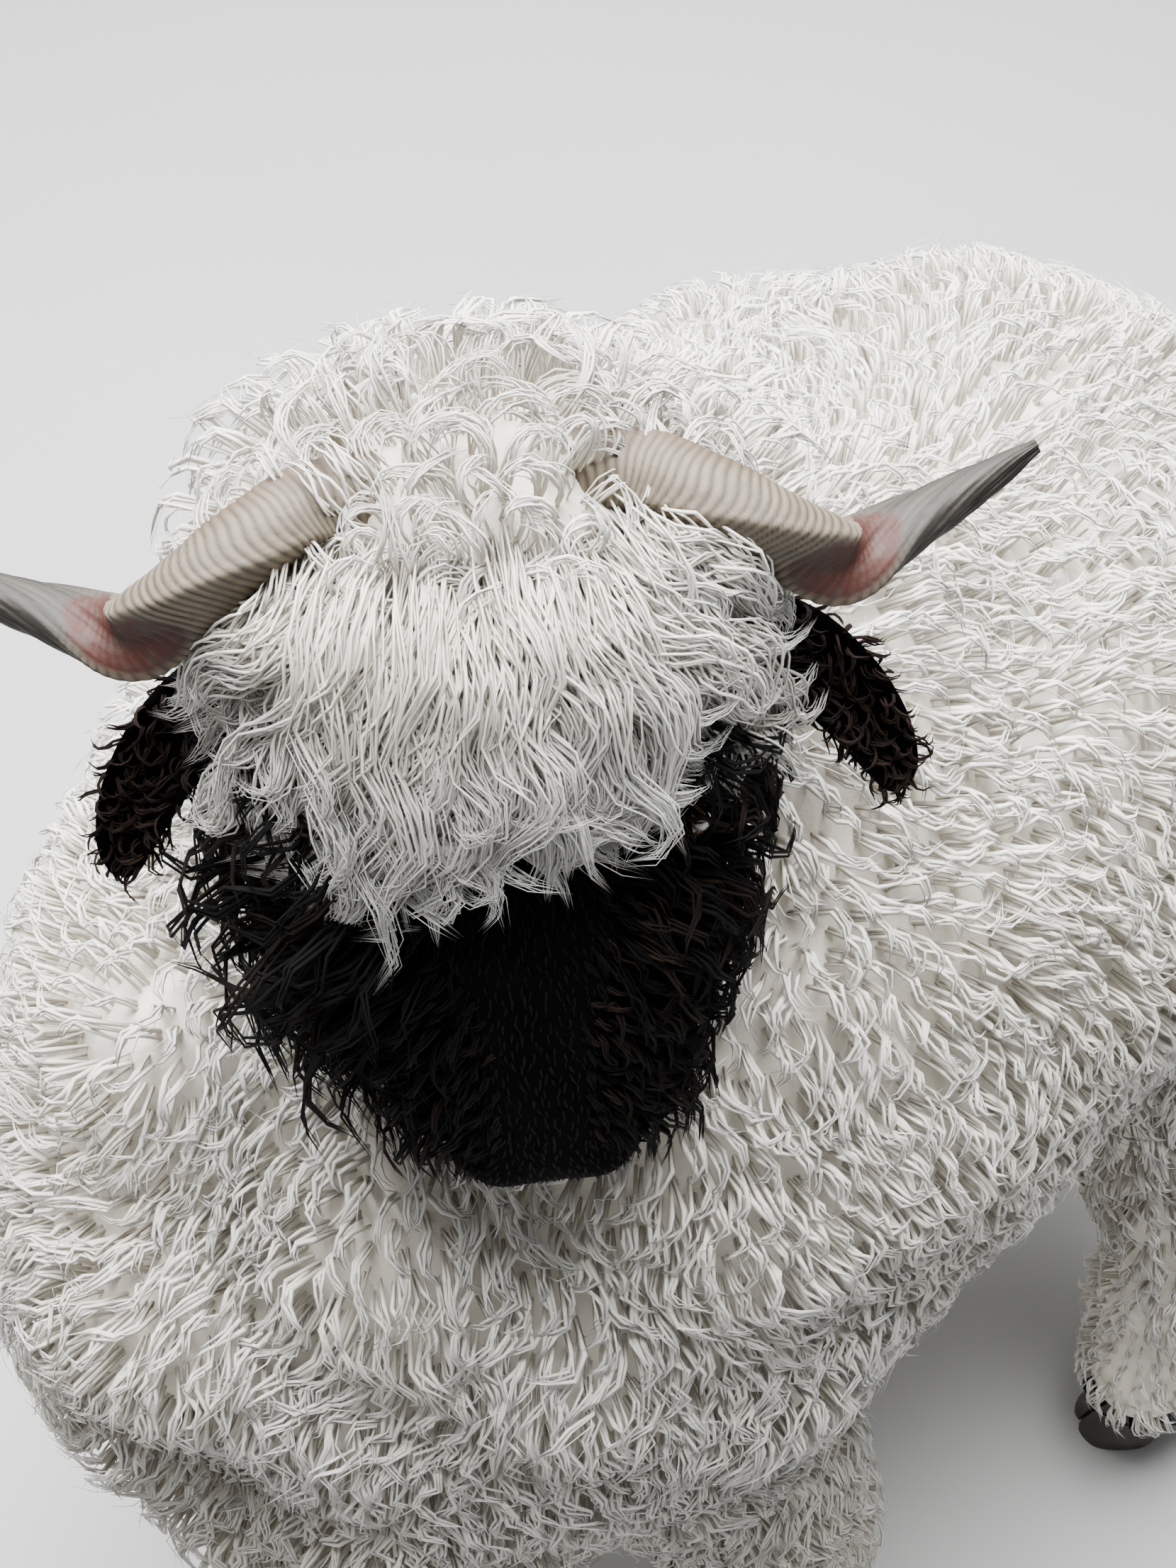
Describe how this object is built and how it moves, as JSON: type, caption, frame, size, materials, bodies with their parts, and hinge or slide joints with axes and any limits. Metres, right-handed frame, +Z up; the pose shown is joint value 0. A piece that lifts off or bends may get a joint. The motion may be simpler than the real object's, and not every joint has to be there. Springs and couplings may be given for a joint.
{
  "type": "valais blacknose sheep model",
  "caption": "Life-size standing model of a horned Valais Blacknose sheep, trunk bent to its left and the lowered black face turned over the shoulder.",
  "frame": {"origin": "on the floor, under the middle of the model's box", "axes": "+Z up; the sheep faces -Y and +X is its left side, towards which trunk and head are bent"},
  "size_m": [0.586, 0.9274, 1.0625],
  "materials": {
    "wool": "cream-white curly fleece",
    "black_wool": "black, slightly brown short wool",
    "horn": "ringed grey-beige horn",
    "eye": "wet dark brown eye",
    "hoof": "dark horn of the claws"
  },
  "bodies": {
    "root": {"torso": "wool", "neck": "wool", "foreleg_left": "wool", "foreleg_right": "wool", "hindleg_left": "wool", "hindleg_right": "wool", "tail": "wool", "head": "black_wool", "ear_left": "black_wool", "ear_right": "black_wool", "eye_left": "eye", "eye_right": "eye", "horn_left": "horn", "horn_right": "horn", "hoof_fore_left": "hoof", "hoof_fore_right": "hoof", "hoof_hind_left": "hoof", "hoof_hind_right": "hoof"}
  },
  "joints": []
}
